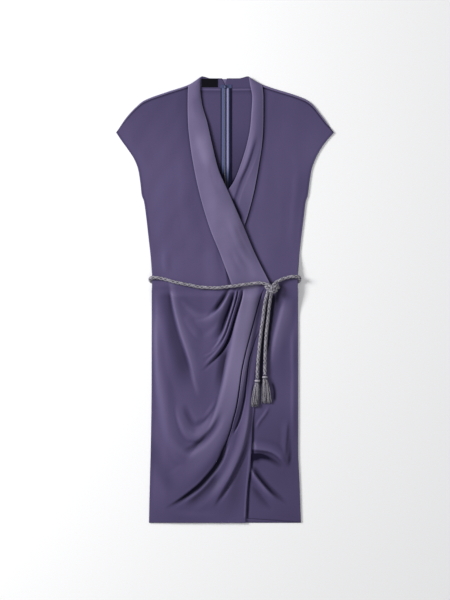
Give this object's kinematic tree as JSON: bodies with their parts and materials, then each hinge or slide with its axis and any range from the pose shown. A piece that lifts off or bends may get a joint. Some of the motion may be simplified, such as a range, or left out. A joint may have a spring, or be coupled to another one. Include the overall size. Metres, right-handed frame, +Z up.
{
  "type": "wrap dress",
  "caption": "Cap-sleeved wrap dress laid flat, with a stand collar, turned lapels, a draped and pleated skirt front and a knotted rope belt with tassels.",
  "frame": {"origin": "centre of the outline, on the surface that the dress lies on", "axes": "+Z up from that surface, towards the front of the dress; +Y along the dress towards the neck; +X towards the wearer's left side"},
  "size_m": [0.5, 1.026, 0.0316],
  "materials": {
    "cloth": "dusty violet satin-back crepe, soft sheen",
    "rope": "grey braided viscose cord, matt",
    "zip_tape": "slate blue woven tape",
    "zip_coil": "dark slate nylon coil",
    "zip_slider": "dark slate enamel",
    "label": "black woven satin, blank"
  },
  "bodies": {
    "root": {"back_left": "cloth", "back_right": "cloth", "collar_left": "cloth", "collar_right": "cloth", "bodice_front_over": "cloth", "bodice_front_under": "cloth", "lapel_over": "cloth", "lapel_under": "cloth", "skirt_front_over": "cloth", "skirt_front_under": "cloth", "belt_waist": "rope", "belt_knot": "rope", "belt_end_left": "rope", "belt_end_right": "rope", "tassel_left": "rope", "tassel_right": "rope", "zip_tape_left": "zip_tape", "zip_tape_right": "zip_tape", "zip_chain": "zip_coil", "zip_slider": "zip_slider", "label": "label"}
  },
  "joints": []
}
